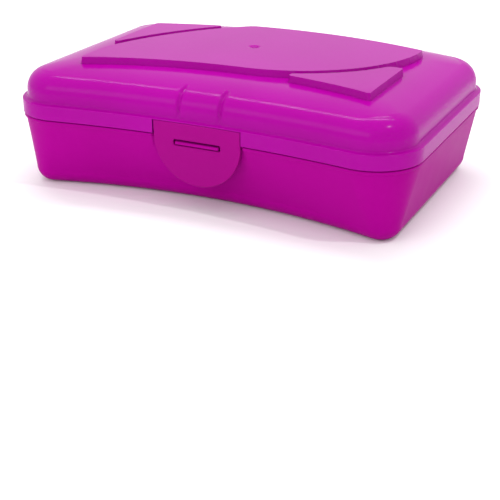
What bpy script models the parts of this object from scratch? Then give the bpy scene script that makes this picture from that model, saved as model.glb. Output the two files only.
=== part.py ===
"""A snap-lid plastic pencil case: tray, domed lid, latch tongue and two hinge pins.

Metres, +Z up, +Y towards the hinge. The case stands on the foot of its tray at z = 0, and the
origin is under the middle of its bounding box. In plan it is a gently curved slab: the front wall
bows in, the back wall bows out, the ends are straight and the four corners are round.
"""
import math

import bpy
import bmesh

# ---- driving dimensions ------------------------------------------------------------------------
LENGTH = 0.210            # over the skirt of the lid, left to right
CORNER_DEPTH = 0.135      # front corner to back corner, before rounding
FRONT_BOW = 0.0115        # how far the front skirt bows in at the middle
FOOT_FRONT_BOW = 0.019    # the same at the foot of the tray, which leaves room for a finger
BACK_BOW = 0.023          # how far the back bows out at the middle
RIM_FRONT_RADIUS = 0.0235
RIM_BACK_RADIUS = 0.0225
FOOT_FRONT_RADIUS = 0.0165
FOOT_BACK_RADIUS = 0.0180

SEAM_Z = 0.0372           # lower edge of the lid's skirt
SKIRT_TOP_Z = 0.0445
EDGE_Z = 0.0588           # where the rounded top edge of the lid ends
EDGE_RADIUS = 0.0104
EDGE_TURN = 74            # degrees of the rounding, where it hands over to the dome
LID_WALL_INSET = 0.0027
DOME_RISE = 0.0026        # how far the lid goes on rising from the rounding to its flat middle
DOME_RUN = 0.018          # over this distance

# stacking relief on the lid: an island and two corner lugs with a channel between them
RELIEF_STEP = 0.0034
ISLAND_LEFT_X = -0.074
ISLAND_RIGHT_X = 0.076
ISLAND_FRONT = (0.008, -0.229, 0.207)     # centre X, centre Y and radius of its walls
ISLAND_NEAR_ARC = (0.008, 0.046, 0.068)
ISLAND_FAR_ARC = (0.068, -0.0545, 0.147)
ISLAND_BACK_INSET = 0.030
CHANNEL = 0.0040
LUG_FRONT = (0.0, -0.2453, 0.222)
NEAR_LUG_X = (0.033, 0.078)
NEAR_LUG_HIGH_Y = 0.010
FAR_LUG_X = (-0.077, -0.041)
FAR_LUG_LOW_Y = -0.003
FAR_LUG_BACK_INSET = 0.034
TIP_SHRINK = 4            # hollows stop this many walls short of a pointed tip

WALL = 0.0016
FOOT_INSET = 0.0065       # draft of the tray wall, at the foot
FOOT_RADIUS = 0.008
RECESS_INSET = 0.0175     # the foot ring's inner edge, clear of another case's relief
RECESS_DEPTH = 0.0037
BEAD_Z = 0.0352           # thin bead that the skirt comes down to
BEAD_TOP_Z = 0.0367
LIP_TOP_Z = 0.0434
LIP_INSET = 0.0024

TAB_HALF_WIDTH = 0.0229
TAB_TOP_Z = 0.0437
TAB_ROUND_Z = 0.0360      # centre of the half-round end
TAB_THICKNESS = 0.0016
TAB_PROUD = 0.0005        # how far the tongue stands out from the skirt at the middle
TAB_LEAN = math.radians(3.0)
SLOT_HALF_LENGTH = 0.0124
SLOT_HEIGHT = 0.0030
SLOT_Z = 0.0342
CATCH_HALF_LENGTH = 0.0114
CATCH_HEIGHT = 0.0015
WINDOW_GAP = 0.0004

GROOVE_X = 0.0109
GROOVE_RADIUS = 0.0017
GROOVE_DEPTH = 0.0008

HINGE_X = 0.025
HINGE_Z = 0.0385
HINGE_STANDOFF = 0.0036   # axis behind the furthest point of the back
KNUCKLE_RADIUS = 0.0032
KNUCKLE_HALF = 0.0050     # lid knuckle, along the axis
KNUCKLE_GAP = 0.0005
KNUCKLE_END = 0.0120      # outer end of the tray knuckles
PIN_RADIUS = 0.0011
PIN_HOLE_RADIUS = 0.0015
PIN_HEAD_RADIUS = 0.0021
PIN_HEAD_LENGTH = 0.0012
PIN_HEAD_GAP = 0.0004

ARC_STEPS = 24            # points along the front and the back
CORNER_STEPS = 7          # points round each corner
OVERCUT = 0.004           # how far cutters run past what they cut

CASE_COLOUR = (0.47, 0.012, 0.28, 1.0)
TAB_COLOUR = (0.40, 0.010, 0.22, 1.0)
PIN_COLOUR = (0.40, 0.010, 0.24, 1.0)


# ---- plan outline ------------------------------------------------------------------------------
def bow_radius(bow):
    """Radius of an arc that bows by this much over the case's length."""
    half = LENGTH / 2
    return (half * half + bow * bow) / (2 * bow)


def mix(a, b, t):
    return a + (b - a) * t


def arc_points(x, y, radius, start, end, steps):
    turn = [start + (end - start) * i / steps for i in range(steps + 1)]
    return [(x + radius * math.cos(a), y + radius * math.sin(a)) for a in turn]


def plan_outline(inset, foot):
    """Closed outline, counter-clockwise from the left end of the front arc.

    inset moves it inwards from the skirt's outer face. foot goes from 0 at the rim to 1 at the
    foot of the tray, where the front bows in further and the corners are tighter.
    """
    front_bow = mix(FRONT_BOW, FOOT_FRONT_BOW, foot)
    front = bow_radius(front_bow) + inset
    back = bow_radius(BACK_BOW) - inset
    front_y = -CORNER_DEPTH / 2 + front_bow - (front - inset)
    back_y = CORNER_DEPTH / 2 + BACK_BOW - (back + inset)
    side = LENGTH / 2 - inset
    smallest = 0.001
    front_round = max(mix(RIM_FRONT_RADIUS, FOOT_FRONT_RADIUS, foot) - inset, smallest)
    back_round = max(mix(RIM_BACK_RADIUS, FOOT_BACK_RADIUS, foot) - inset, smallest)

    # centres of the two right-hand corner arcs, tangent to the end and to the front or back arc
    front_turn = math.acos((side - front_round) / (front + front_round))
    back_turn = math.acos((side - back_round) / (back - back_round))
    front_corner_y = front_y + (front + front_round) * math.sin(front_turn)
    back_corner_y = back_y + (back - back_round) * math.sin(back_turn)

    front_arc = arc_points(0, front_y, front, math.pi - front_turn, front_turn, ARC_STEPS)
    right_front = arc_points(side - front_round, front_corner_y, front_round,
                             front_turn - math.pi, 0.0, CORNER_STEPS)
    right_back = arc_points(side - back_round, back_corner_y, back_round,
                            0.0, back_turn, CORNER_STEPS)
    back_arc = arc_points(0, back_y, back, back_turn, math.pi - back_turn, ARC_STEPS)
    right = right_front[1:] + right_back
    left = [(-x, y) for x, y in reversed(right)]
    return front_arc + right + back_arc[1:-1] + left[:-1]


def front_y(inset=0.0):
    """Y of the rim outline on the middle plane, at the front."""
    return -CORNER_DEPTH / 2 + FRONT_BOW + inset


def back_y(x=0.0):
    """Y of the rim outline at the back."""
    radius = bow_radius(BACK_BOW)
    return CORNER_DEPTH / 2 + BACK_BOW - radius + math.sqrt(radius * radius - x * x)


HINGE_Y = back_y() + HINGE_STANDOFF
FRONT_MOST = min(y for x, y in plan_outline(0.0, 0.0))
CENTRE_Y = (FRONT_MOST + HINGE_Y + KNUCKLE_RADIUS) / 2    # middle of the bounding box


# ---- profiles: (inset, z, foot) from the middle of the outer face round to the inner face --------
def round_profile(inset, z, radius, start, end, steps, foot):
    """A rounded edge about (inset, z); 0 degrees points outwards and 90 degrees up."""
    turn = [math.radians(start + (end - start) * i / steps) for i in range(steps + 1)]
    return [(inset - radius * math.cos(a), z + radius * math.sin(a), foot) for a in turn]


def wall_inset(z):
    """Inset of the tray wall's outer face between the foot's rounding and the bead."""
    top_inset = 0.0012
    return mix(FOOT_INSET, top_inset, (z - FOOT_RADIUS) / (BEAD_Z - FOOT_RADIUS))


def tray_profile():
    floor_z = RECESS_DEPTH + WALL
    centre = FOOT_INSET + FOOT_RADIUS
    outer = [(RECESS_INSET + 0.0006, RECESS_DEPTH, 1.0), (RECESS_INSET, 0.0, 1.0)]
    outer += round_profile(centre, FOOT_RADIUS, FOOT_RADIUS, -90, 0, 5, 1.0)
    outer += [(wall_inset(0.022), 0.022, 0.5), (wall_inset(0.0349), 0.0349, 0.0)]
    bead = [(0.0007, BEAD_Z, 0.0), (0.0004, (BEAD_Z + BEAD_TOP_Z) / 2, 0.0),
            (0.0007, BEAD_TOP_Z, 0.0)]
    lip = [(LIP_INSET, BEAD_TOP_Z + 0.0002, 0.0), (LIP_INSET, LIP_TOP_Z - 0.0004, 0.0),
           (LIP_INSET + 0.0004, LIP_TOP_Z, 0.0), (LIP_INSET + WALL - 0.0004, LIP_TOP_Z, 0.0),
           (LIP_INSET + WALL, LIP_TOP_Z - 0.0004, 0.0), (LIP_INSET + WALL, 0.0330, 0.0)]
    inner = [(wall_inset(0.022) + WALL, 0.022, 0.5)]
    inner += round_profile(centre, FOOT_RADIUS, FOOT_RADIUS - WALL, 0, -90, 4, 1.0)
    inner += [(RECESS_INSET - WALL - 0.0002, WALL, 1.0),
              (RECESS_INSET - WALL, floor_z, 1.0)]
    return outer + bead + lip + inner


EDGE_CENTRE_Z = EDGE_Z - EDGE_RADIUS
DOME_START_INSET = LID_WALL_INSET + EDGE_RADIUS * (1 - math.cos(math.radians(EDGE_TURN)))
DOME_START_Z = EDGE_CENTRE_Z + EDGE_RADIUS * math.sin(math.radians(EDGE_TURN))
FLAT_Z = DOME_START_Z + DOME_RISE
FLAT_INSET = DOME_START_INSET + DOME_RUN


def dome_z(inset):
    """Height of the lid's outer face between its rounded edge and the flat middle."""
    run = min((inset - DOME_START_INSET) / DOME_RUN, 1.0)
    return DOME_START_Z + DOME_RISE * (1 - (1 - run) ** 2)


def lid_profile():
    centre = LID_WALL_INSET + EDGE_RADIUS
    slopes = [mix(FLAT_INSET, DOME_START_INSET, i / 5) for i in range(5)]
    dome = [(i, dome_z(i), 0.0) for i in slopes]
    edge = round_profile(centre, EDGE_CENTRE_Z, EDGE_RADIUS, EDGE_TURN, 0, 6, 0.0)
    skirt = [(0.0009, SKIRT_TOP_Z + 0.0002, 0.0), (0.0003, SKIRT_TOP_Z, 0.0),
             (0.0, SKIRT_TOP_Z - 0.0003, 0.0), (0.0, SEAM_Z, 0.0), (0.0018, SEAM_Z, 0.0),
             (0.0018, LIP_TOP_Z + 0.0003, 0.0), (0.0026, LIP_TOP_Z + 0.0011, 0.0)]
    inside = round_profile(centre, EDGE_CENTRE_Z, EDGE_RADIUS - WALL, 0, EDGE_TURN, 5, 0.0)
    under = [(i, dome_z(i) - WALL, 0.0) for i in reversed(slopes)]
    return dome + edge + skirt + inside + under


# ---- making objects ----------------------------------------------------------------------------
def clear_scene():
    for thing in list(bpy.data.objects):
        bpy.data.objects.remove(thing, do_unlink=True)


def make_material(name, colour, roughness):
    material = bpy.data.materials.new(name)
    material.use_nodes = True
    shader = material.node_tree.nodes["Principled BSDF"]
    shader.inputs["Base Color"].default_value = colour
    shader.inputs["Roughness"].default_value = roughness
    shader.inputs["Metallic"].default_value = 0.0
    material.diffuse_color = colour
    return material


def new_collection(name):
    collection = bpy.data.collections.new(name)
    bpy.context.scene.collection.children.link(collection)
    return collection


def add_mesh(name, mesh_builder, collection, material=None):
    """A new object from a bmesh, moved so that the case is centred on the origin."""
    bmesh.ops.translate(mesh_builder, verts=mesh_builder.verts, vec=(0, -CENTRE_Y, 0))
    bmesh.ops.recalc_face_normals(mesh_builder, faces=mesh_builder.faces)
    mesh = bpy.data.meshes.new(name)
    mesh_builder.to_mesh(mesh)
    mesh_builder.free()
    mesh.shade_smooth()
    mesh.set_sharp_from_angle(angle=math.radians(35))
    thing = bpy.data.objects.new(name, mesh)
    collection.objects.link(thing)
    if material:
        mesh.materials.append(material)
    return thing


def move_origin(thing, point):
    """Puts the object's origin on a point given in the case's own plan coordinates."""
    target = (point[0], point[1] - CENTRE_Y, point[2])
    for vertex in thing.data.vertices:
        vertex.co = [a - b for a, b in zip(vertex.co, target)]
    thing.location = target


def loft(profile):
    """A closed shell: the plan outline swept through a profile, with a face over each end."""
    builder = bmesh.new()
    rings = []
    for inset, z, foot in profile:
        rings.append([builder.verts.new((x, y, z)) for x, y in plan_outline(inset, foot)])
    count = len(rings[0])
    for lower, upper in zip(rings, rings[1:]):
        for i in range(count):
            j = (i + 1) % count
            builder.faces.new((lower[i], lower[j], upper[j], upper[i]))
    builder.faces.new(rings[0])
    builder.faces.new(reversed(rings[-1]))
    return builder


def box(low, high):
    builder = bmesh.new()
    bmesh.ops.create_cube(builder, size=1.0)
    for vertex in builder.verts:
        vertex.co = [mix(a, b, c + 0.5) for a, b, c in zip(low, high, vertex.co)]
    return builder


def rod(start_x, end_x, y, z, radius, sides):
    """A cylinder along X."""
    builder = bmesh.new()
    bmesh.ops.create_cone(builder, cap_ends=True, segments=sides, radius1=radius, radius2=radius,
                          depth=end_x - start_x)
    for vertex in builder.verts:
        across, up, along = vertex.co
        vertex.co = ((start_x + end_x) / 2 + along, y + across, z + up)
    return builder


def prism(outline, low_z, high_z):
    """A flat outline extruded upwards."""
    builder = bmesh.new()
    base = builder.faces.new([builder.verts.new((x, y, low_z)) for x, y in outline])
    top = bmesh.ops.extrude_face_region(builder, geom=[base])["geom"]
    for item in top:
        if isinstance(item, bmesh.types.BMVert):
            item.co.z = high_z
    return builder


def combine(target, tool, operation):
    """Adds a Boolean modifier; the tool stays as a wire guide."""
    tool.hide_render = True
    tool.display_type = "WIRE"
    modifier = target.modifiers.new(tool.name, "BOOLEAN")
    modifier.operation = operation
    modifier.solver = "EXACT"
    modifier.object = tool


# ---- the sub-parts -----------------------------------------------------------------------------
def tray_knuckles(side):
    """Two ranges along X, one on each side of the lid's knuckle."""
    middle = side * HINGE_X
    inner = KNUCKLE_HALF + KNUCKLE_GAP
    return [(middle - KNUCKLE_END, middle - inner), (middle + inner, middle + KNUCKLE_END)]


def make_tray(parts, guides, material):
    tray = add_mesh("base_tray", loft(tray_profile()), parts, material)
    notch_half = TAB_HALF_WIDTH + 2 * WINDOW_GAP
    notch = box((-notch_half, front_y() - OVERCUT, 0.0290),
                (notch_half, front_y(LIP_INSET), BEAD_TOP_Z + 0.0002))
    combine(tray, add_mesh("bead_notch", notch, guides), "DIFFERENCE")
    wall_y = front_y(LIP_INSET)
    catch_low_z = SLOT_Z - SLOT_HEIGHT / 2 + 0.0005
    catch = box((-CATCH_HALF_LENGTH, front_y() - 0.0002, catch_low_z),
                (CATCH_HALF_LENGTH, wall_y + WALL / 2, catch_low_z + CATCH_HEIGHT))
    combine(tray, add_mesh("catch_rib", catch, guides), "UNION")
    arm_top_z = BEAD_TOP_Z - 0.0003
    for side, word in ((-1, "left"), (1, "right")):
        for number, (start, end) in enumerate(tray_knuckles(side), 1):
            name = f"tray_hinge_{word}_{number}"
            reach = back_y(max(abs(start), abs(end))) - LIP_INSET - WALL / 2
            arm = box((start, reach, arm_top_z - 0.0042), (end, HINGE_Y, arm_top_z))
            combine(tray, add_mesh(name + "_arm", arm, guides), "UNION")
            knuckle = rod(start, end, HINGE_Y, HINGE_Z, KNUCKLE_RADIUS, 20)
            combine(tray, add_mesh(name + "_knuckle", knuckle, guides), "UNION")
        middle = side * HINGE_X
        hole = rod(middle - KNUCKLE_END - OVERCUT, middle + KNUCKLE_END + OVERCUT,
                   HINGE_Y, HINGE_Z, PIN_HOLE_RADIUS, 16)
        combine(tray, add_mesh(f"tray_pin_hole_{word}", hole, guides), "DIFFERENCE")
    return tray


def circle_y(circle, grow, side, x):
    """Y of a circle at this X; side is 1 for its far half and -1 for its near half."""
    centre_x, centre_y, radius = circle
    return centre_y + side * math.sqrt((radius + grow) ** 2 - (x - centre_x) ** 2)


def back_inset_y(inset, x):
    radius = bow_radius(BACK_BOW)
    return CORNER_DEPTH / 2 + BACK_BOW - radius + math.sqrt((radius - inset) ** 2 - x * x)


def relief_outline(low, high, start, end):
    """Closed outline between two curves over X, with more points near both ends."""
    steps = 30
    middle, half = (start + end) / 2, (end - start) / 2
    across = [middle - half * math.cos(math.pi * i / steps) for i in range(steps + 1)]
    return [(x, low(x)) for x in across] + [(x, high(x)) for x in reversed(across)]


def island_outline(shrink):
    def low(x):
        if x < ISLAND_NEAR_ARC[0]:
            return circle_y(ISLAND_FRONT, shrink, 1, x)
        return circle_y(ISLAND_NEAR_ARC, -shrink, -1, x)

    def high(x):
        far = circle_y(ISLAND_FAR_ARC, -shrink, 1, x)
        return min(back_inset_y(ISLAND_BACK_INSET + shrink, x), far)

    return relief_outline(low, high, ISLAND_LEFT_X + shrink, ISLAND_RIGHT_X - TIP_SHRINK * shrink)


def near_lug_outline(shrink):
    def low(x):
        return circle_y(LUG_FRONT, shrink, 1, x)

    def high(x):
        reach = ISLAND_NEAR_ARC[2] + CHANNEL + shrink
        if x - ISLAND_NEAR_ARC[0] >= reach:
            return NEAR_LUG_HIGH_Y - shrink
        return min(circle_y(ISLAND_NEAR_ARC, CHANNEL + shrink, -1, x), NEAR_LUG_HIGH_Y - shrink)

    return relief_outline(low, high, NEAR_LUG_X[0] + TIP_SHRINK * shrink, NEAR_LUG_X[1] - shrink)


def far_lug_outline(shrink):
    def low(x):
        return max(circle_y(ISLAND_FAR_ARC, CHANNEL + shrink, 1, x), FAR_LUG_LOW_Y + shrink)

    def high(x):
        return back_inset_y(FAR_LUG_BACK_INSET + shrink, x)

    return relief_outline(low, high, FAR_LUG_X[0] + shrink, FAR_LUG_X[1] - TIP_SHRINK * shrink)


def raise_relief(lid, guides, word, outline):
    """A raised pad of the lid's own thickness: added from above, hollowed from below."""
    pad = prism(outline(0.0), FLAT_Z - WALL / 2, FLAT_Z + RELIEF_STEP)
    combine(lid, add_mesh("pad_" + word, pad, guides), "UNION")
    hollow = prism(outline(WALL), FLAT_Z - OVERCUT, FLAT_Z + RELIEF_STEP - WALL)
    combine(lid, add_mesh("hollow_" + word, hollow, guides), "DIFFERENCE")


def make_lid(parts, guides, material):
    lid = add_mesh("lid_shell", loft(lid_profile()), parts, material)
    raise_relief(lid, guides, "island", island_outline)
    raise_relief(lid, guides, "near_lug", near_lug_outline)
    raise_relief(lid, guides, "far_lug", far_lug_outline)
    window_half = TAB_HALF_WIDTH + WINDOW_GAP
    window = box((-window_half, front_y() - OVERCUT, SEAM_Z - OVERCUT),
                 (window_half, front_y() + 0.0020, TAB_TOP_Z + WINDOW_GAP))
    combine(lid, add_mesh("tab_window", window, guides), "DIFFERENCE")
    groove_y = front_y(LID_WALL_INSET) + GROOVE_DEPTH - GROOVE_RADIUS
    for side, word in ((-1, "left"), (1, "right")):
        groove = bmesh.new()
        bmesh.ops.create_cone(groove, cap_ends=True, segments=16, radius1=GROOVE_RADIUS,
                              radius2=GROOVE_RADIUS, depth=0.012)
        bmesh.ops.translate(groove, verts=groove.verts,
                            vec=(side * GROOVE_X, groove_y, SKIRT_TOP_Z + 0.0065))
        combine(lid, add_mesh("groove_" + word, groove, guides), "DIFFERENCE")

        middle = side * HINGE_X
        start, end = middle - KNUCKLE_HALF, middle + KNUCKLE_HALF
        reach = back_y(max(abs(start), abs(end))) - 0.0008
        arm = box((start, reach, HINGE_Z), (end, HINGE_Y, SKIRT_TOP_Z - 0.0020))
        combine(lid, add_mesh(f"lid_hinge_{word}_arm", arm, guides), "UNION")
        knuckle = rod(start, end, HINGE_Y, HINGE_Z, KNUCKLE_RADIUS, 20)
        combine(lid, add_mesh(f"lid_hinge_{word}_knuckle", knuckle, guides), "UNION")
        hole = rod(start - OVERCUT, end + OVERCUT, HINGE_Y, HINGE_Z, PIN_HOLE_RADIUS, 16)
        combine(lid, add_mesh(f"lid_pin_hole_{word}", hole, guides), "DIFFERENCE")
    return lid


def make_tab(parts, guides, material):
    """The tongue hangs from its thin top edge, which is the line that it flexes about."""
    steps = 28
    turn = [math.pi + math.pi * i / steps for i in range(steps + 1)]
    outline = [(TAB_HALF_WIDTH * math.cos(a), TAB_ROUND_Z + TAB_HALF_WIDTH * math.sin(a))
               for a in turn]
    outline += [(TAB_HALF_WIDTH, TAB_TOP_Z), (-TAB_HALF_WIDTH, TAB_TOP_Z)]
    builder = bmesh.new()
    near = front_y() - TAB_PROUD
    face = builder.faces.new([builder.verts.new((x, near, z)) for x, z in outline])
    grown = bmesh.ops.extrude_face_region(builder, geom=[face])["geom"]
    for item in grown:
        if isinstance(item, bmesh.types.BMVert):
            item.co.y += TAB_THICKNESS
    tab = add_mesh("latch_tab", builder, parts, material)
    flex_line = (0.0, near + TAB_THICKNESS / 2, TAB_TOP_Z)
    move_origin(tab, flex_line)
    tab.rotation_euler.x = TAB_LEAN
    slot = box((-SLOT_HALF_LENGTH, near - OVERCUT, SLOT_Z - SLOT_HEIGHT / 2),
               (SLOT_HALF_LENGTH, near + 2 * OVERCUT, SLOT_Z + SLOT_HEIGHT / 2))
    combine(tab, add_mesh("tab_slot", slot, guides), "DIFFERENCE")
    return tab


def make_pin(side, word, parts, material):
    """A turned pin with a small head at each end, on the hinge axis."""
    half = KNUCKLE_END + PIN_HEAD_GAP
    tip = half + PIN_HEAD_LENGTH
    profile = [(0.0, tip), (PIN_HEAD_RADIUS - 0.0004, tip), (PIN_HEAD_RADIUS, tip - 0.0004),
               (PIN_HEAD_RADIUS, half), (PIN_RADIUS, half), (PIN_RADIUS, -half),
               (PIN_HEAD_RADIUS, -half), (PIN_HEAD_RADIUS, 0.0004 - tip),
               (PIN_HEAD_RADIUS - 0.0004, -tip), (0.0, -tip)]
    mesh = bpy.data.meshes.new("hinge_pin_" + word)
    edges = [(i, i + 1) for i in range(len(profile) - 1)]
    mesh.from_pydata([(r, 0.0, z) for r, z in profile], edges, [])
    mesh.materials.append(material)
    pin = bpy.data.objects.new("hinge_pin_" + word, mesh)
    parts.objects.link(pin)
    pin.location = (side * HINGE_X, HINGE_Y - CENTRE_Y, HINGE_Z)
    pin.rotation_euler.y = math.radians(90)
    screw = pin.modifiers.new("turn", "SCREW")
    screw.axis = "Z"
    screw.steps = 16
    screw.render_steps = 16
    screw.use_merge_vertices = True
    screw.merge_threshold = 0.00001
    screw.use_smooth_shade = False
    return pin


def main():
    clear_scene()
    parts = new_collection("pencil_case")
    guides = new_collection("cutters_and_joins")
    case_plastic = make_material("case_plastic", CASE_COLOUR, 0.32)
    lid_plastic = make_material("lid_plastic", CASE_COLOUR, 0.30)
    tab_plastic = make_material("tab_plastic", TAB_COLOUR, 0.35)
    pin_plastic = make_material("pin_plastic", PIN_COLOUR, 0.40)
    make_tray(parts, guides, case_plastic)
    lid = make_lid(parts, guides, lid_plastic)
    make_tab(parts, guides, tab_plastic)
    move_origin(lid, (0.0, HINGE_Y, HINGE_Z))
    for side, word in ((-1, "left"), (1, "right")):
        make_pin(side, word, parts, pin_plastic)


main()
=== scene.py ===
"""Looks for the snap-lid plastic pencil case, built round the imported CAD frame.

The lid, the tray and the latch tongue are rebuilt as smooth mouldings on the frame's own outline.
Metres, +Z up, +Y towards the hinge.
"""
import math

import bmesh
import bpy
import numpy as np
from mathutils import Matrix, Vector


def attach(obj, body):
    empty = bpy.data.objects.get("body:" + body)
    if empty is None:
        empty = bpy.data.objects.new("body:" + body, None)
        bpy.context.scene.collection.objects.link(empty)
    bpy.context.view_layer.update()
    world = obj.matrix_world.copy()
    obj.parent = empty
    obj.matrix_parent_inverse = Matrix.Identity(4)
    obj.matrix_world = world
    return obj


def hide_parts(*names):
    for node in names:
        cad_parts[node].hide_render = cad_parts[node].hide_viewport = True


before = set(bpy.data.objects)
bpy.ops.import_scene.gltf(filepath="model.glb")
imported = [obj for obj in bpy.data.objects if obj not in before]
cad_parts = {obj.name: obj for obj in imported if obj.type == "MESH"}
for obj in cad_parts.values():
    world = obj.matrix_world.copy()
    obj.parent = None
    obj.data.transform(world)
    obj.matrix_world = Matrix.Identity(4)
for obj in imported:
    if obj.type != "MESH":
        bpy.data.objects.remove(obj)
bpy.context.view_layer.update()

# ---- the frame's own dimensions ------------------------------------------------------------------
LENGTH = 0.210
CORNER_DEPTH = 0.135
FRONT_BOW = 0.0115
FOOT_FRONT_BOW = 0.019
BACK_BOW = 0.023
RIM_FRONT_RADIUS = 0.0235
RIM_BACK_RADIUS = 0.0225
FOOT_FRONT_RADIUS = 0.0165
FOOT_BACK_RADIUS = 0.0180

SEAM_Z = 0.0372
SKIRT_TRIM = 0.00005         # keeps the smooth skirt inside the faceted one of the frame
SKIRT_TOP_Z = 0.0445
SKIRT_EDGE_RADIUS = 0.0004
SKIRT_SHOULDER_RADIUS = 0.0006
EDGE_Z = 0.0588
EDGE_RADIUS = 0.0104
EDGE_TURN = 74.0             # degrees of rounding before the dome begins
EDGE_STEPS = 26
INNER_EDGE_STEPS = 12
LID_WALL_INSET = 0.0027
WALL = 0.0016

FOOT_INSET = 0.0065
FOOT_RADIUS = 0.008
RECESS_INSET = 0.0175
RECESS_DEPTH = 0.0037
WALL_TOP_INSET = 0.0012
BEAD_Z = 0.0352
BEAD_TOP_Z = 0.0367
BEAD_GAP_RUN = 0.0060        # height of the flat stretch behind the tongue
BEAD_GAP_FADE = 0.0006
LIP_TOP_Z = 0.0434
LIP_INSET = 0.0024
LIP_ROUND = 0.0004
LIP_CHAMFER = 0.00012
LEDGE_Z = 0.0345             # where the lip turns into the wall on the inside
LEDGE_LOW_Z = 0.0330

TAB_HALF_WIDTH = 0.0229
TAB_TOP_Z = 0.0437
TAB_ROUND_Z = 0.0360
TAB_THICKNESS = 0.0016
TAB_PROUD = 0.0005
TAB_LEAN = math.radians(3.0)
TAB_EDGE = 0.00045           # rounded edge of the tongue
TAB_OVERLAP = 0.0002         # how far the tongue runs up past its bending line
SLOT_HALF_LENGTH = 0.0124
SLOT_HEIGHT = 0.0030
SLOT_Z = 0.0342
CATCH_HALF_LENGTH = 0.0114
CATCH_HEIGHT = 0.0015
CATCH_LIFT = 0.0005          # the rib above the lower side of the slot
CATCH_PROUD = 0.0002
WINDOW_GAP = 0.0004
WINDOW_DEPTH = 0.0020
WINDOW_MARGIN = 0.0014       # from the tongue to the next column of the net
CUT_MARGIN = 0.004

HINGE_X = 0.025
HINGE_STANDOFF = 0.0036
HINGE_Z = 0.0385
KNUCKLE_RADIUS = 0.0032
KNUCKLE_SHOWN = 0.00315      # stays inside the faceted knuckles of the frame
KNUCKLE_HALF = 0.0050
KNUCKLE_GAP = 0.0005
KNUCKLE_END = 0.0120
PIN_HOLE_RADIUS = 0.0015
TRAY_ARM_HEIGHT = 0.0042
TRAY_ARM_DROP = 0.0003       # under the top of the bead
LID_ARM_DROP = 0.0020        # under the top of the skirt
LID_ARM_INSET = 0.0008
SMALL_EDGE = 0.0003          # rounded edge of the rib and of the hinge leaves

# ---- the relief moulded into the lid -------------------------------------------------------------
DOME_START_INSET = 0.0102    # where the rounded edge hands over to the dome at the same slope
DOME_START_Z = 0.05839
DOME_RUN = 0.018
DOME_RISE = 0.0026
RELIEF_STEP = 0.0034
ISLAND_LEFT_X = -0.074
ISLAND_RIGHT_X = 0.076
# centre X, centre Y and radius of the round walls
ISLAND_FRONT = (0.008, -0.229, 0.207)
ISLAND_NEAR_ARC = (0.008, 0.046, 0.068)
ISLAND_FAR_ARC = (0.068, -0.0545, 0.147)
ISLAND_BACK_INSET = 0.030
CHANNEL = 0.0040
LUG_FRONT = (0.0, -0.2453, 0.222)
NEAR_LUG_X = (0.033, 0.078)
NEAR_LUG_HIGH_Y = 0.010
FAR_LUG_X = (-0.077, -0.041)
FAR_LUG_LOW_Y = -0.003
FAR_LUG_BACK_INSET = 0.034
STEP_DRAFT = 0.00045         # plan width of a moulded step
STEP_ROUND = 0.0016          # radius of its corners in plan
SMALLEST_ROUND = 0.0015
CORNER_SHRINK = 0.15         # how fast the dome's corners tighten towards the middle
GATE_AT = (-0.0045, 0.0168)  # the dimple round the moulding gate
GATE_RADIUS = 0.0030
GATE_EDGE = 0.0010           # width of the dimple's sloping side
GATE_DEPTH = 0.0006

GROOVE_X = 0.0109
GROOVE_HALF_WIDTH = 0.0017
GROOVE_DEPTH = 0.0012
GROOVE_END_INSET = 0.0130    # where the grooves run out on the dome

# ---- the net of points that the lid and the tray share -------------------------------------------
GRID_INSET = 0.0195
LAST_RING_GAP = 0.0010       # from the last ring to the edge of the grid
GRID_HALF = LENGTH / 2 - GRID_INSET
GRID_COLUMN_STEP = 0.0007
LEAST_COLUMN_GAP = 0.00008
GRID_ROWS = 190
GRID_ROW_STEP = 0.00058      # the widest gap between two rows
GROOVE_COLUMNS = 19
GROOVE_COLUMN_SPAN = 1.15    # of the half width, to both sides of a groove
CORNER_STEPS = 14
SHARP_ANGLE = math.radians(50)

CAMERA_AT = (0.2364, -0.5069, 0.2035)
CAMERA_AIM = (0.0004, -0.0161, -0.0427)
CAMERA_LENS = 79.8
SENSOR = 36.0
FLOOR_HALF = 3.0
WORLD_STRENGTH = 0.9


# ---- plan geometry -------------------------------------------------------------------------------
def bow_radius(bow):
    """Radius of an arc that bows by this much over the case's length."""
    half = LENGTH / 2
    return (half * half + bow * bow) / (2 * bow)


def mix(a, b, t):
    return a + (b - a) * t


def smoothstep(low, high, value):
    t = np.clip((value - low) / (high - low), 0.0, 1.0)
    return t * t * (3 - 2 * t)


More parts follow.
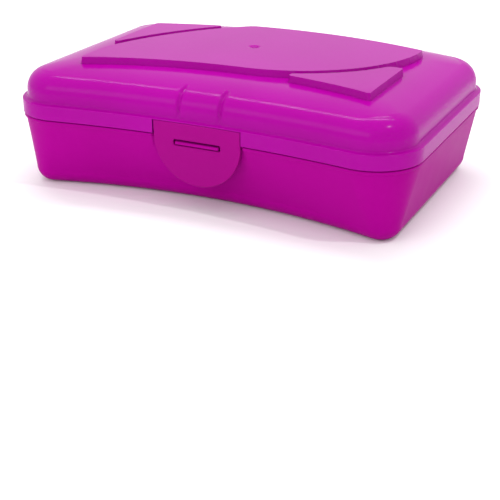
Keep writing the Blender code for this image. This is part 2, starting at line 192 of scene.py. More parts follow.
def plan_ring(inset, foot, columns, right_rows, left_rows):
    """Closed outline, counter-clockwise from the left end of the front arc, in the case's plan.

    columns run from -1 to 1 along the front and back arcs, and rows from 0 to 1 along the ends.
    """
    front_bow = mix(FRONT_BOW, FOOT_FRONT_BOW, foot)
    front = bow_radius(front_bow) + inset
    back = bow_radius(BACK_BOW) - inset
    front_centre = -CORNER_DEPTH / 2 + front_bow - (front - inset)
    back_centre = CORNER_DEPTH / 2 + BACK_BOW - (back + inset)
    side = LENGTH / 2 - inset
    front_round = max(mix(RIM_FRONT_RADIUS, FOOT_FRONT_RADIUS, foot) - inset, SMALLEST_ROUND)
    back_round = max(mix(RIM_BACK_RADIUS, FOOT_BACK_RADIUS, foot) - inset, SMALLEST_ROUND)
    front_turn = math.acos((side - front_round) / (front + front_round))
    back_turn = math.acos((side - back_round) / (back - back_round))
    front_y = front_centre + (front + front_round) * math.sin(front_turn)
    back_y = back_centre + (back - back_round) * math.sin(back_turn)

    front_x = columns * front * math.cos(front_turn)
    back_x = columns[::-1] * back * math.cos(back_turn)
    front_arc = np.column_stack([front_x, front_centre + np.sqrt(front ** 2 - front_x ** 2)])
    back_arc = np.column_stack([back_x, back_centre + np.sqrt(back ** 2 - back_x ** 2)])
    right = np.column_stack([np.full(len(right_rows), side), mix(front_y, back_y, right_rows)])
    left = np.column_stack([np.full(len(left_rows), -side),
                            mix(front_y, back_y, left_rows[::-1])])

    def corner_arc(x, y, radius, start, end):
        turn = np.linspace(start, end, CORNER_STEPS + 1)[1:-1]
        return np.column_stack([x + radius * np.cos(turn), y + radius * np.sin(turn)])

    x = side - front_round
    front_right = corner_arc(x, front_y, front_round, front_turn - math.pi, 0.0)
    front_left = front_right[::-1] * (-1, 1)
    x = side - back_round
    back_right = corner_arc(x, back_y, back_round, 0.0, back_turn)
    back_left = back_right[::-1] * (-1, 1)
    return np.vstack([front_arc, front_right, right, back_right,
                      back_arc, back_left, left, front_left])


FRONT_RADIUS = bow_radius(FRONT_BOW)
FRONT_CENTRE = -CORNER_DEPTH / 2 + FRONT_BOW - FRONT_RADIUS
BACK_RADIUS = bow_radius(BACK_BOW)
BACK_CENTRE = CORNER_DEPTH / 2 + BACK_BOW - BACK_RADIUS


def front_y(inset=0.0):
    return -CORNER_DEPTH / 2 + FRONT_BOW + inset


def back_y(x=0.0):
    return BACK_CENTRE + math.sqrt(BACK_RADIUS ** 2 - x * x)


FINE = np.linspace(-1, 1, 401)
HINGE_Y = back_y() + HINGE_STANDOFF
FRONT_MOST = plan_ring(0.0, 0.0, FINE, np.array([0.0, 1.0]), np.array([0.0, 1.0]))[:, 1].min()
CENTRE_Y = (FRONT_MOST + HINGE_Y + KNUCKLE_RADIUS) / 2


def edge_distances(x, y):
    """Distance inside the front arc, the back arc and the nearer end."""
    front = np.hypot(x, y - FRONT_CENTRE) - FRONT_RADIUS
    back = BACK_RADIUS - np.hypot(x, y - BACK_CENTRE)
    side = LENGTH / 2 - np.abs(x)
    return front, back, side


def soft_inset(x, y):
    """Inset of a point, with contours whose corners stay round all the way in."""
    front, back, side = edge_distances(x, y)
    across = np.minimum(front, back)
    round_start = RIM_BACK_RADIUS - DOME_START_INSET
    low = np.zeros_like(x)
    high = np.full_like(x, LENGTH / 2)
    halvings = 26
    for _ in range(halvings):
        inset = (low + high) / 2
        inner = round_start - (inset - DOME_START_INSET) * CORNER_SHRINK
        radius = np.where(inset < DOME_START_INSET, RIM_BACK_RADIUS - inset, inner)
        radius = np.maximum(radius, SMALLEST_ROUND)
        a = across - inset
        b = side - inset
        in_corner = (a < radius) & (b < radius)
        distance = np.where(in_corner, radius - np.hypot(radius - a, radius - b),
                            np.minimum(a, b))
        low = np.where(distance > 0, inset, low)
        high = np.where(distance > 0, high, inset)
    return (low + high) / 2


def dome_height(x, y):
    run = np.clip((soft_inset(x, y) - DOME_START_INSET) / DOME_RUN, 0.0, 1.0)
    return DOME_START_Z + DOME_RISE * (1 - (1 - run) ** 2)


# ---- relief: an island and two corner lugs with a channel between them ---------------------------
def inside_circle(x, y, circle, grow=0.0):
    """Distance inside a circle, negative outside it."""
    return circle[2] + grow - np.hypot(x - circle[0], y - circle[1])


def round_meet(*distances):
    """Distance inside a shape bounded by several walls, with round corners where they meet."""
    depth = [STEP_ROUND - d for d in distances]
    outside = np.sqrt(sum(np.maximum(d, 0.0) ** 2 for d in depth))
    inside = np.minimum(np.maximum.reduce(depth), 0.0)
    return STEP_ROUND - outside - inside


def relief_distance(x, y):
    """Signed distance inside the nearest raised pad."""
    back = inside_circle(x, y, (0.0, BACK_CENTRE, BACK_RADIUS))
    near_arc = inside_circle(x, y, ISLAND_NEAR_ARC)
    far_arc = inside_circle(x, y, ISLAND_FAR_ARC)
    front = -inside_circle(x, y, ISLAND_FRONT)
    # the front wall runs smoothly into the arc where their centres line up
    right = np.where(y > ISLAND_NEAR_ARC[1], ISLAND_RIGHT_X - x, near_arc)
    low = np.where(x < ISLAND_NEAR_ARC[0], front, right)
    island = round_meet(low, far_arc, back - ISLAND_BACK_INSET, x - ISLAND_LEFT_X)
    near_lug = round_meet(-near_arc - CHANNEL, -inside_circle(x, y, LUG_FRONT), x - NEAR_LUG_X[0],
                          NEAR_LUG_X[1] - x, NEAR_LUG_HIGH_Y - y)
    far_lug = round_meet(-far_arc - CHANNEL, back - FAR_LUG_BACK_INSET, x - FAR_LUG_X[0],
                         FAR_LUG_X[1] - x, y - FAR_LUG_LOW_Y)
    return np.maximum(np.maximum(island, near_lug), far_lug)


def relief_height(x, y, shift):
    """Height of the relief; shift draws the pads in, for the lid's inner face."""
    distance = relief_distance(x, y) - shift
    height = RELIEF_STEP * smoothstep(-STEP_DRAFT / 2, STEP_DRAFT / 2, distance)
    if shift:
        return height
    from_gate = np.hypot(x - GATE_AT[0], y - GATE_AT[1])
    return height - GATE_DEPTH * (1 - smoothstep(GATE_RADIUS - GATE_EDGE, GATE_RADIUS, from_gate))


def snap_to_steps(x, y, shift):
    """Moves points that lie close to a step onto its top or bottom edge, which keeps it crisp."""
    small = 0.00002
    least_steepness = 0.25
    distance = relief_distance(x, y) - shift
    slope_x = (relief_distance(x + small, y) - relief_distance(x - small, y)) / (2 * small)
    slope_y = (relief_distance(x, y + small) - relief_distance(x, y - small)) / (2 * small)
    steepness = np.maximum(slope_x ** 2 + slope_y ** 2, least_steepness)
    edge = np.where(distance >= 0, STEP_DRAFT / 2, -STEP_DRAFT / 2)
    reach = np.maximum(np.abs(slope_x) * GRID_COLUMN_STEP, np.abs(slope_y) * GRID_ROW_STEP)
    move = np.where(np.abs(distance) < reach, edge - distance, 0.0) / steepness
    return x + slope_x * move, y + slope_y * move


# ---- the shared net of points: rings round a grid ------------------------------------------------
def net_columns():
    """Where the net's columns cross the front, from -1 to 1, denser at the grooves and the window."""
    half = list(np.arange(0.0, GRID_HALF - GRID_COLUMN_STEP / 2, GRID_COLUMN_STEP))
    across = np.linspace(-GROOVE_COLUMN_SPAN, GROOVE_COLUMN_SPAN, GROOVE_COLUMNS)
    half += list(GROOVE_X + across * GROOVE_HALF_WIDTH)
    half += [TAB_HALF_WIDTH - WINDOW_GAP, TAB_HALF_WIDTH + WINDOW_GAP,
             TAB_HALF_WIDTH + WINDOW_MARGIN]
    spaced = [0.0]
    for x in sorted(half):
        if x - spaced[-1] > LEAST_COLUMN_GAP:
            spaced.append(x)
    whole = [-x for x in reversed(spaced[1:])] + spaced
    return np.array([-GRID_HALF] + whole + [GRID_HALF]) / GRID_HALF


def row_heights(x):
    """Y of every row at this column."""
    low = FRONT_CENTRE + math.sqrt((FRONT_RADIUS + GRID_INSET) ** 2 - x * x)
    high = BACK_CENTRE + math.sqrt((BACK_RADIUS - GRID_INSET) ** 2 - x * x)
    return np.linspace(low, high, GRID_ROWS)


COLUMNS = net_columns()
END_ROWS = np.linspace(0.0, 1.0, GRID_ROWS)


def ring_points(inset, foot=0.0):
    return plan_ring(inset, foot, COLUMNS, END_ROWS, END_ROWS)


def stitch(builder, lower, upper, flip):
    """Quads between two rings of the same length."""
    count = len(lower)
    for i in range(count):
        j = (i + 1) % count
        corners = (lower[i], lower[j], upper[j], upper[i])
        builder.faces.new(corners[::-1] if flip else corners)


def add_ring(builder, points, heights):
    heights = np.broadcast_to(heights, len(points))
    return [builder.verts.new((x, y - CENTRE_Y, z)) for (x, y), z in zip(points, heights)]


def grid_cap(builder, ring, height_of, shift, flip):
    """Fills a ring with the grid; each rounded corner fans out from the grid's own corner."""
    xs = COLUMNS * GRID_HALF
    ys = np.array([row_heights(x) for x in xs])
    grid_x = np.repeat(xs[:, None], ys.shape[1], axis=1)
    flat_x, flat_y = snap_to_steps(grid_x.ravel(), ys.ravel(), shift)
    heights = height_of(flat_x, flat_y).reshape(ys.shape)
    grid_x = flat_x.reshape(ys.shape)
    ys = flat_y.reshape(ys.shape)
    verts = [[builder.verts.new((x, y - CENTRE_Y, z)) for x, y, z in zip(*column)]
             for column in zip(grid_x, ys, heights)]

    def face(*corners):
        builder.faces.new(corners[::-1] if flip else corners)

    wide, tall = ys.shape
    for i in range(wide - 1):
        for j in range(tall - 1):
            face(verts[i][j], verts[i + 1][j], verts[i + 1][j + 1], verts[i][j + 1])
    border = [[verts[i][0] for i in range(wide)], [verts[-1][j] for j in range(tall)],
              [verts[i][-1] for i in reversed(range(wide))],
              [verts[0][j] for j in reversed(range(tall))]]
    start = 0
    for run in border:
        for i in range(len(run) - 1):
            face(ring[start + i], ring[start + i + 1], run[i + 1], run[i])
        last = start + len(run) - 1
        for i in range(CORNER_STEPS):
            face(ring[last + i], ring[(last + i + 1) % len(ring)], run[-1])
        start = last + CORNER_STEPS


def finish_mesh(name, builder, material):
    bmesh.ops.recalc_face_normals(builder, faces=builder.faces)
    mesh = bpy.data.meshes.new(name)
    builder.to_mesh(mesh)
    builder.free()
    mesh.shade_smooth()
    mesh.set_sharp_from_angle(angle=SHARP_ANGLE)
    mesh.materials.append(material)
    thing = bpy.data.objects.new(name, mesh)
    bpy.context.scene.collection.objects.link(thing)
    return thing


def even_normals(thing):
    """Flat stretches stay flat next to small rounded edges."""
    modifier = thing.modifiers.new("even_normals", "WEIGHTED_NORMAL")
    modifier.keep_sharp = True
    modifier.weight = 80


def turn_points(inset, z, radius, start, end, steps):
    """A rounded edge about (inset, z); 0 degrees points outwards and 90 degrees up."""
    turn = np.radians(np.linspace(start, end, steps + 1))
    return [(inset - radius * math.cos(a), z + radius * math.sin(a)) for a in turn]


# ---- the lid -------------------------------------------------------------------------------------
def groove_cut(x):
    """Depth of the two upright grooves at each X."""
    across = np.minimum(np.abs(np.abs(x) - GROOVE_X) / GROOVE_HALF_WIDTH, 1.0)
    return GROOVE_DEPTH * (1 + np.cos(math.pi * across)) / 2


def lid_wall_rings(builder):
    """Skirt, wall and rounded edge, from the skirt's inner lower edge up to the dome."""
    centre = LID_WALL_INSET + EDGE_RADIUS
    edge_z = EDGE_Z - EDGE_RADIUS
    profile = [(0.0013, SEAM_Z), (0.0004, SEAM_Z)]
    profile += turn_points(SKIRT_EDGE_RADIUS, SEAM_Z + SKIRT_EDGE_RADIUS, SKIRT_EDGE_RADIUS,
                           -68, 0, 3)
    profile += [(0.0, SEAM_Z + 0.0012), (0.0, SKIRT_TOP_Z - 0.0016)]
    profile += turn_points(SKIRT_SHOULDER_RADIUS, SKIRT_TOP_Z - SKIRT_SHOULDER_RADIUS,
                           SKIRT_SHOULDER_RADIUS, 0, 74, 5)
    profile += [(0.0012, SKIRT_TOP_Z + 0.00008), (0.0019, SKIRT_TOP_Z + 0.00022)]
    profile += [(0.0024, SKIRT_TOP_Z + 0.0005), (LID_WALL_INSET - 0.00005, SKIRT_TOP_Z + 0.0010)]
    rings = []
    for inset, z in profile:
        rings.append(add_ring(builder, ring_points(max(inset, SKIRT_TRIM)), z))
    for turn in np.radians(np.linspace(0.0, EDGE_TURN, EDGE_STEPS + 1)):
        rings.append(edge_ring(builder, centre, edge_z, EDGE_RADIUS, turn, True))
    return rings


def edge_ring(builder, centre, edge_z, radius, turn, grooved):
    """One ring of the rounded top edge, sunk where the grooves run over it."""
    inset = centre - radius * math.cos(turn)
    points = ring_points(inset)
    heights = np.full(len(points), edge_z + radius * math.sin(turn))
    if grooved:
        cut = groove_cut(points[:, 0]) * (points[:, 1] < 0)
        points = points.copy()
        points[:, 1] += cut * math.cos(turn)
        heights = heights - cut * math.sin(turn)
    return add_ring(builder, points, heights)


def lid_top(builder, ring, shift, drop, flip):
    """The dome and its relief, from the rounded edge to the middle.

    shift draws the relief's pads in and drop lowers everything, both by the wall for the inner face.
    """
    last_inset = GRID_INSET - LAST_RING_GAP
    for inset in np.linspace(DOME_START_INSET + drop, last_inset, 12)[1:]:
        points = ring_points(inset)
        heights = dome_height(*points.T) - drop
        if not drop:
            fade = float(1 - smoothstep(DOME_START_INSET, GROOVE_END_INSET, inset))
            heights = heights - groove_cut(points[:, 0]) * fade * (points[:, 1] < 0)
        upper = add_ring(builder, points, heights)
        stitch(builder, ring, upper, flip)
        ring = upper

    def height_of(x, y):
        return dome_height(x, y) + relief_height(x, y, shift) - drop

    grid_cap(builder, ring, height_of, shift, flip)


def lid_inner_rings(builder):
    """The lid's inner face, from the skirt's lower edge over the tray's lip to the dome."""
    centre = LID_WALL_INSET + EDGE_RADIUS
    edge_z = EDGE_Z - EDGE_RADIUS
    profile = [(0.0014, SEAM_Z + 0.0001), (0.0018, SEAM_Z + 0.0005), (0.0018, SEAM_Z + 0.0016),
               (0.0018, LIP_TOP_Z - 0.0012), (0.0018, LIP_TOP_Z + 0.0003),
               (0.0022, LIP_TOP_Z + 0.0007), (0.0038, LIP_TOP_Z + 0.0011),
               (0.0043, LIP_TOP_Z + 0.0018)]
    rings = [add_ring(builder, ring_points(inset), z) for inset, z in profile]
    for turn in np.radians(np.linspace(0.0, EDGE_TURN, INNER_EDGE_STEPS + 1)):
        rings.append(edge_ring(builder, centre, edge_z, EDGE_RADIUS - WALL, turn, False))
    return rings


def make_lid(material):
    builder = bmesh.new()
    outer = lid_wall_rings(builder)
    for lower, upper in zip(outer, outer[1:]):
        stitch(builder, lower, upper, False)
    lid_top(builder, outer[-1], 0.0, 0.0, False)
    inner = lid_inner_rings(builder)
    stitch(builder, outer[0], inner[0], True)
    for lower, upper in zip(inner, inner[1:]):
        stitch(builder, lower, upper, True)
    lid_top(builder, inner[-1], WALL, WALL, True)
    lid = finish_mesh("lid_moulding", builder, material)
    half = TAB_HALF_WIDTH + WINDOW_GAP
    window = box_cutter("tab_window", (-half, front_y() - CUT_MARGIN, SEAM_Z - CUT_MARGIN),
                        (half, front_y() + WINDOW_DEPTH, TAB_TOP_Z + WINDOW_GAP))
    cut_away(lid, window)
    even_normals(lid)
    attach(lid, "lid")
    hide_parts("lid_shell")
    return lid


def box_cutter(name, low, high):
    """A box given in the case's plan, used only to cut."""
    builder = bmesh.new()
    bmesh.ops.create_cube(builder, size=1.0)
    for vertex in builder.verts:
        vertex.co = [mix(a, b, c + 0.5) for a, b, c in zip(low, high, vertex.co)]
        vertex.co.y -= CENTRE_Y
    mesh = bpy.data.meshes.new(name)
    builder.to_mesh(mesh)
    builder.free()
    thing = bpy.data.objects.new(name, mesh)
    bpy.context.scene.collection.objects.link(thing)
    return thing


def cut_away(thing, cutter):
    """Applies an exact Boolean difference and removes the cutter."""
    modifier = thing.modifiers.new("cut", "BOOLEAN")
    modifier.operation = "DIFFERENCE"
    modifier.solver = "EXACT"
    modifier.object = cutter
    apply_modifiers(thing)
    bpy.data.objects.remove(cutter, do_unlink=True)


def apply_modifiers(thing):
    bpy.context.view_layer.update()
    evaluated = thing.evaluated_get(bpy.context.evaluated_depsgraph_get())
    mesh = bpy.data.meshes.new_from_object(evaluated)
    old = thing.data
    thing.modifiers.clear()
    thing.data = mesh
    mesh.name = thing.name
    bpy.data.meshes.remove(old)


# ---- the tray ------------------------------------------------------------------------------------
FOOT_CENTRE_INSET = FOOT_INSET + FOOT_RADIUS
WALL_END_Z = BEAD_Z - 0.0003


def wall_inset(z):
    """Inset of the tray's wall between the foot's rounding and the bead."""
    return mix(FOOT_INSET, WALL_TOP_INSET, (z - FOOT_RADIUS) / (BEAD_Z - FOOT_RADIUS))


def tray_outside():
    """(inset, z, foot) from the recess under the tray, out round the foot and up to the bead."""
    profile = [(RECESS_INSET + 0.0014, RECESS_DEPTH, 1.0), (RECESS_INSET + 0.0009, RECESS_DEPTH, 1.0),
               (RECESS_INSET + 0.0006, RECESS_DEPTH - 0.0003, 1.0),
               (RECESS_INSET + 0.0003, 0.0004, 1.0), (RECESS_INSET - 0.0001, 0.0, 1.0),
               (RECESS_INSET - 0.0010, 0.0, 1.0)]
    profile += [(i, z, 1.0) for i, z in
                turn_points(FOOT_CENTRE_INSET, FOOT_RADIUS, FOOT_RADIUS, -90, 0, 14)]
    for z in np.linspace(FOOT_RADIUS, WALL_END_Z, 9)[1:]:
        part = (z - FOOT_RADIUS) / (WALL_END_Z - FOOT_RADIUS)
        profile.append((wall_inset(z), z, 1.0 - part))
    return profile


def tray_rim():
    """The bead, and the lip that goes up inside the skirt."""
    middle = (BEAD_Z + BEAD_TOP_Z) / 2
    bead = [(0.0007, BEAD_Z), (0.0005, BEAD_Z + 0.0002), (0.0004, middle),
            (0.0005, BEAD_TOP_Z - 0.0002), (0.0007, BEAD_TOP_Z)]
    outer = [(LIP_INSET - 0.0004, BEAD_TOP_Z + 0.0001), (LIP_INSET, BEAD_TOP_Z + 0.0005),
             (LIP_INSET, LIP_TOP_Z - 0.0012), (LIP_INSET, LIP_TOP_Z - LIP_ROUND),
             (LIP_INSET + LIP_CHAMFER, LIP_TOP_Z - LIP_CHAMFER), (LIP_INSET + LIP_ROUND, LIP_TOP_Z)]
    inner = [(LIP_INSET + WALL - LIP_ROUND, LIP_TOP_Z),
             (LIP_INSET + WALL - LIP_CHAMFER, LIP_TOP_Z - LIP_CHAMFER),
             (LIP_INSET + WALL, LIP_TOP_Z - LIP_ROUND), (LIP_INSET + WALL, LIP_TOP_Z - 0.0014),
             (LIP_INSET + WALL, LEDGE_Z)]
    return [(inset, z, 0.0) for inset, z in bead + outer + inner]


def tray_inside():
    """Down the inside of the wall, round the foot and over the raised floor of the recess."""
    profile = []
    for z in np.linspace(LEDGE_LOW_Z, FOOT_RADIUS, 8):
        part = (z - FOOT_RADIUS) / (LEDGE_LOW_Z - FOOT_RADIUS)
        profile.append((wall_inset(z) + WALL + 0.0002 * part, z, 1.0 - part))
    profile += [(i, z, 1.0) for i, z in
                turn_points(FOOT_CENTRE_INSET, FOOT_RADIUS, FOOT_RADIUS - WALL, 0, -90, 12)[1:]]
    floor_z = RECESS_DEPTH + WALL
    edge = RECESS_INSET - WALL
    return profile + [(edge - 0.0005, WALL, 1.0), (edge - 0.0002, WALL, 1.0),
                      (edge, WALL + 0.0003, 1.0), (edge + 0.0002, floor_z - 0.0004, 1.0),
                      (edge + 0.0006, floor_z, 1.0), (edge + 0.0014, floor_z, 1.0)]


def make_tray(material):
    builder = bmesh.new()
    rings = []
    for inset, z, foot in tray_outside() + tray_rim() + tray_inside():
        points = ring_points(inset, foot)
        if BEAD_Z - BEAD_GAP_RUN < z < BEAD_TOP_Z + 0.0002 and inset < LIP_INSET:
            points = bead_gap(points, inset)
        rings.append(add_ring(builder, points, z))
    for lower, upper in zip(rings, rings[1:]):
        stitch(builder, lower, upper, False)
    builder.faces.new(rings[0][::-1])
    builder.faces.new(rings[-1])
    tray = finish_mesh("tray_moulding", builder, material)
    even_normals(tray)
    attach(tray, "tray")
    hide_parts("base_tray")
    return tray


def bead_gap(points, inset):
    """Behind the tongue the wall runs on straight up to the lip, without the bead."""
    half = TAB_HALF_WIDTH + 2 * WINDOW_GAP
    x = np.abs(points[:, 0])
    inside = 1 - smoothstep(half, half + BEAD_GAP_FADE, x)
    points = points.copy()
    at_front = points[:, 1] < 0
    points[:, 1] += inside * at_front * (LIP_INSET - inset)
    return points


# ---- flat moulded pieces: tongue, catch rib, hinge leaves ----------------------------------------
def flat_piece(name, outlines, depth, edge, material):
    """Closed outlines (the first is the outer one) extruded to this depth, with rounded edges."""
    curve = bpy.data.curves.new(name, "CURVE")
    curve.dimensions = "2D"
    curve.fill_mode = "BOTH"
    curve.extrude = depth / 2 - edge
    curve.bevel_depth = edge
    curve.bevel_resolution = 3
    curve.offset = -edge
    for outline in outlines:
        spline = curve.splines.new("POLY")
        spline.points.add(len(outline) - 1)
        for point, (x, y) in zip(spline.points, outline):
            point.co = (x, y, 0.0, 1.0)
        spline.use_cyclic_u = True
    thing = bpy.data.objects.new(name + "_curve", curve)
    bpy.context.scene.collection.objects.link(thing)
    bpy.context.view_layer.update()
    evaluated = thing.evaluated_get(bpy.context.evaluated_depsgraph_get())
    mesh = bpy.data.meshes.new_from_object(evaluated)
    mesh.name = name
    bpy.data.objects.remove(thing, do_unlink=True)
    builder = bmesh.new()
    builder.from_mesh(mesh)
    bmesh.ops.remove_doubles(builder, verts=builder.verts, dist=0.000001)
    bmesh.ops.recalc_face_normals(builder, faces=builder.faces)
    builder.to_mesh(mesh)
    builder.free()
    mesh.shade_smooth()
    mesh.materials.clear()
    mesh.materials.append(material)
    piece = bpy.data.objects.new(name, mesh)
    bpy.context.scene.collection.objects.link(piece)
    return piece


def rounded_slot(half_length, half_height, middle_z, steps=10):
    """A long hole with small round corners."""
    radius = half_height * 0.6
    outline = []
    for x, z, start in ((1, 1, 0), (-1, 1, 90), (-1, -1, 180), (1, -1, 270)):
        for turn in np.radians(np.linspace(start, start + 90, steps)):
            outline.append((x * (half_length - radius) + radius * math.cos(turn),
                            middle_z + z * (half_height - radius) + radius * math.sin(turn)))
    return outline


def make_tongue(material):
    """The half-round latch tongue, hung from the living hinge at its top edge."""
    steps = 72
    turn = np.linspace(math.pi, 2 * math.pi, steps + 1)
    outline = [(TAB_HALF_WIDTH * math.cos(a), TAB_ROUND_Z + TAB_HALF_WIDTH * math.sin(a) - TAB_TOP_Z)
               for a in turn]
    outline += [(TAB_HALF_WIDTH, TAB_OVERLAP), (-TAB_HALF_WIDTH, TAB_OVERLAP)]
    slot = rounded_slot(SLOT_HALF_LENGTH, SLOT_HEIGHT / 2, SLOT_Z - TAB_TOP_Z)
    tongue = flat_piece("latch_tongue", [outline, slot], TAB_THICKNESS, TAB_EDGE, material)
    tongue.rotation_euler = (math.radians(90) + TAB_LEAN, 0.0, 0.0)
    flex_y = front_y() - TAB_PROUD + TAB_THICKNESS / 2 - CENTRE_Y
    tongue.location = (0.0, flex_y, TAB_TOP_Z)
    even_normals(tongue)
    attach(tongue, "latch")
    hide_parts("latch_tab")
    return tongue


def make_catch(material):
    """The rib on the tray that the tongue's slot snaps over."""
    low_z = SLOT_Z - SLOT_HEIGHT / 2 + CATCH_LIFT
    near = front_y() - CATCH_PROUD
    far = front_y(LIP_INSET) + WALL / 2
    outline = rounded_slot((far - near) / 2, CATCH_HEIGHT / 2, 0.0)
    rib = flat_piece("catch_rib", [outline], 2 * CATCH_HALF_LENGTH, SMALL_EDGE, material)
    rib.rotation_euler = (math.radians(90), 0.0, math.radians(90))
    rib.location = (0.0, (near + far) / 2 - CENTRE_Y, low_z + CATCH_HEIGHT / 2)
    even_normals(rib)
    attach(rib, "tray")
    return rib


def leaf_outline(wall_y, low_z, high_z):
    """A knuckle with an arm back to the wall, in (Y, Z) about the hinge axis."""
    steps = 40
    steepest = 0.98
    radius = KNUCKLE_SHOWN
    low = low_z - HINGE_Z
    high = high_z - HINGE_Z
    start = math.pi - math.asin(max(min(high / radius, steepest), -steepest))
    end = math.pi - math.asin(max(min(low / radius, steepest), -steepest))
    turn = np.linspace(start, end - 2 * math.pi, steps)
    outline = [(radius * math.cos(a), radius * math.sin(a)) for a in turn]
    return outline + [(wall_y - HINGE_Y, low), (wall_y - HINGE_Y, high)]


def make_leaf(name, start, end, wall_y, low_z, high_z, body, material):
    """One hinge leaf between two X positions, with the pin's hole through its knuckle."""
    outline = leaf_outline(wall_y, low_z, high_z)
    hole = [(PIN_HOLE_RADIUS * math.cos(a), PIN_HOLE_RADIUS * math.sin(a))
            for a in np.linspace(0, 2 * math.pi, 33)[:-1]]
    leaf = flat_piece(name, [outline, hole], end - start, SMALL_EDGE, material)
    leaf.rotation_euler = (math.radians(90), 0.0, math.radians(90))
    leaf.location = ((start + end) / 2, HINGE_Y - CENTRE_Y, HINGE_Z)
    even_normals(leaf)
    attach(leaf, body)
    return leaf


def make_hinges(tray_material, lid_material):
    """Two hinges, each a leaf of the lid between two leaves of the tray."""
    arm_top_z = BEAD_TOP_Z - TRAY_ARM_DROP
    for side, word in ((-1, "left"), (1, "right")):
        middle = side * HINGE_X
        inner = KNUCKLE_HALF + KNUCKLE_GAP
        spans = [(middle - KNUCKLE_END, middle - inner), (middle + inner, middle + KNUCKLE_END)]
        for number, (start, end) in enumerate(spans, 1):
            wall_y = back_y(max(abs(start), abs(end))) - LIP_INSET - WALL / 2
            make_leaf(f"tray_leaf_{word}_{number}", start, end, wall_y,
                      arm_top_z - TRAY_ARM_HEIGHT, arm_top_z, "tray", tray_material)
        start, end = middle - KNUCKLE_HALF, middle + KNUCKLE_HALF
        wall_y = back_y(max(abs(start), abs(end))) - LID_ARM_INSET
        make_leaf(f"lid_leaf_{word}", start, end, wall_y, HINGE_Z, SKIRT_TOP_Z - LID_ARM_DROP,
                  "lid", lid_material)


def make_gate_mark(material):
    """The small scar that the moulding gate leaves at the middle of the lid."""
    profile = [(0.0, 0.00035), (0.0004, 0.00038), (0.0007, 0.00052), (0.0009, 0.00057),
               (0.0011, 0.00052), (0.0013, 0.00030), (0.0014, -0.0003)]
    steps = 40
    builder = bmesh.new()
    centre = builder.verts.new((0.0, 0.0, profile[0][1]))
    rings = []
    for radius, z in profile[1:]:
        rings.append([builder.verts.new((radius * math.cos(a), radius * math.sin(a), z))
                      for a in np.linspace(0, 2 * math.pi, steps + 1)[:-1]])
    for i in range(steps):
        builder.faces.new((centre, rings[0][i], rings[0][(i + 1) % steps]))
    for lower, upper in zip(rings, rings[1:]):
        stitch(builder, lower, upper, True)
    builder.faces.new(rings[-1])
    mark = finish_mesh("gate_mark", builder, material)
    x, y = GATE_AT
    z = DOME_START_Z + DOME_RISE + RELIEF_STEP - GATE_DEPTH
    mark.location = (x, y - CENTRE_Y, z)
    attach(mark, "lid")
    return mark


# ---- materials -----------------------------------------------------------------------------------
def plastic(name, colour, deep_colour, roughness, bump, gloss):
    """Satin polypropylene: a faint cloudy colour, a fine moulded grain and a little depth."""
    material = bpy.data.materials.new(name)
    material.use_nodes = True
    nodes = material.node_tree.nodes
    links = material.node_tree.links
    shader = nodes["Principled BSDF"]
    place = nodes.new("ShaderNodeTexCoord")

    cloud = nodes.new("ShaderNodeTexNoise")
    cloud.inputs["Scale"].default_value = 14.0
    cloud.inputs["Detail"].default_value = 3.0
    links.new(place.outputs["Object"], cloud.inputs["Vector"])
    blend = nodes.new("ShaderNodeMix")
    blend.data_type = "RGBA"
    blend.inputs["A"].default_value = (*colour, 1.0)
    blend.inputs["B"].default_value = (*deep_colour, 1.0)
    spread = nodes.new("ShaderNodeMapRange")
    spread.inputs["From Min"].default_value = 0.35
    spread.inputs["From Max"].default_value = 0.75
    links.new(cloud.outputs["Fac"], spread.inputs["Value"])
    links.new(spread.outputs["Result"], blend.inputs["Factor"])
    links.new(blend.outputs["Result"], shader.inputs["Base Color"])

    haze = nodes.new("ShaderNodeTexNoise")
    haze.inputs["Scale"].default_value = 60.0
    haze.inputs["Detail"].default_value = 4.0
    links.new(place.outputs["Object"], haze.inputs["Vector"])
    rough = nodes.new("ShaderNodeMapRange")
    rough.inputs["To Min"].default_value = roughness - 0.04
    rough.inputs["To Max"].default_value = roughness + 0.05
    links.new(haze.outputs["Fac"], rough.inputs["Value"])
    links.new(rough.outputs["Result"], shader.inputs["Roughness"])

    grain = nodes.new("ShaderNodeTexNoise")
    grain.inputs["Scale"].default_value = 900.0
    grain.inputs["Detail"].default_value = 2.0
    links.new(place.outputs["Object"], grain.inputs["Vector"])
    relief = nodes.new("ShaderNodeBump")
    relief.inputs["Strength"].default_value = bump
    relief.inputs["Distance"].default_value = 0.0001
    links.new(grain.outputs["Fac"], relief.inputs["Height"])
    links.new(relief.outputs["Normal"], shader.inputs["Normal"])
    shader.inputs["Specular IOR Level"].default_value = gloss
    shader.inputs["IOR"].default_value = 1.49
    return material


# ---- stage ---------------------------------------------------------------------------------------
def make_floor():
    builder = bmesh.new()
    bmesh.ops.create_grid(builder, x_segments=2, y_segments=2, size=FLOOR_HALF)
    mesh = bpy.data.meshes.new("floor")
    builder.to_mesh(mesh)
    builder.free()
    floor = bpy.data.objects.new("floor", mesh)
    bpy.context.scene.collection.objects.link(floor)
    material = bpy.data.materials.new("floor_white")
    material.use_nodes = True
    shader = material.node_tree.nodes["Principled BSDF"]
    shader.inputs["Base Color"].default_value = (0.93, 0.93, 0.93, 1.0)
    shader.inputs["Roughness"].default_value = 0.9
    shader.inputs["Specular IOR Level"].default_value = 0.1
    mesh.materials.append(material)


def add_area(name, place, aim, size, power):
    light = bpy.data.lights.new(name, "AREA")
    light.shape = "RECTANGLE"
    light.size = size[0]
    light.size_y = size[1]
    light.energy = power
    thing = bpy.data.objects.new(name, light)
    bpy.context.scene.collection.objects.link(thing)
    thing.location = place
    thing.rotation_euler = (Vector(aim) - Vector(place)).to_track_quat("-Z", "Y").to_euler()


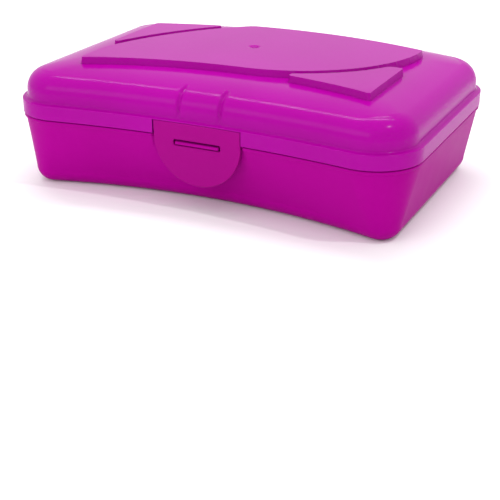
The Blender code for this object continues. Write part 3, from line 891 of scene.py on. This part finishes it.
def make_stage():
    make_floor()
    world = bpy.data.worlds.new("studio")
    bpy.context.scene.world = world
    world.use_nodes = True
    background = world.node_tree.nodes["Background"]
    background.inputs["Color"].default_value = (1.0, 1.0, 1.0, 1.0)
    background.inputs["Strength"].default_value = WORLD_STRENGTH
    add_area("overhead", (0.0, -0.3, 1.6), (0, 0, 0.0), (2.6, 2.6), 3.0)
    add_area("strip", (-0.15, 0.30, 1.0), (0, 0, 0.05), (1.0, 0.02), 5.0)
    add_area("glint", (0.55, -0.10, 0.9), (0.1, 0, 0.05), (0.015, 0.015), 1.8)
    add_area("softbox_front", (-0.35, -1.3, 0.75), (0, 0, 0.04), (1.2, 0.5), 4.7)
    bpy.context.scene.view_settings.view_transform = "Standard"


def make_camera():
    data = bpy.data.cameras.new("camera")
    data.lens = CAMERA_LENS
    data.sensor_width = SENSOR
    data.clip_start = 0.01
    camera = bpy.data.objects.new("camera", data)
    bpy.context.scene.collection.objects.link(camera)
    camera.location = CAMERA_AT
    aim = Vector(CAMERA_AIM) - Vector(CAMERA_AT)
    camera.rotation_euler = aim.to_track_quat("-Z", "Y").to_euler()
    bpy.context.scene.camera = camera


def main():
    make_camera()
    # The lid is the tray's magenta with more blue mixed in: painted sheen for the bright reflection
    # on the lid's top.
    lid_plastic = plastic("lid_plastic", (0.38, 0.001, 0.30), (0.34, 0.001, 0.26),
                          roughness=0.16, bump=0.10, gloss=0.06)
    tray_plastic = plastic("tray_plastic", (0.385, 0.001, 0.26), (0.35, 0.001, 0.23),
                           roughness=0.34, bump=0.12, gloss=0.015)
    # The tongue is the tray's magenta made darker: painted shade for the leaning tongue that hangs in
    # front of the tray.
    tongue_plastic_painted_shade = plastic("tongue_plastic_painted_shade", (0.345, 0.001, 0.21), (0.31, 0.001, 0.19),
                             roughness=0.30, bump=0.12, gloss=0.04)
    pin_plastic = plastic("pin_plastic", (0.36, 0.003, 0.22), (0.33, 0.003, 0.20),
                          roughness=0.40, bump=0.15, gloss=0.15)
    make_lid(lid_plastic)
    make_tray(tray_plastic)
    make_tongue(tongue_plastic_painted_shade)
    make_catch(tray_plastic)
    make_hinges(tray_plastic, lid_plastic)
    make_gate_mark(lid_plastic)
    for node in ("hinge_pin_left", "hinge_pin_right"):
        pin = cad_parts[node]
        pin.data.materials.clear()
        pin.data.materials.append(pin_plastic)
        pin.data.shade_smooth()
    make_stage()


main()
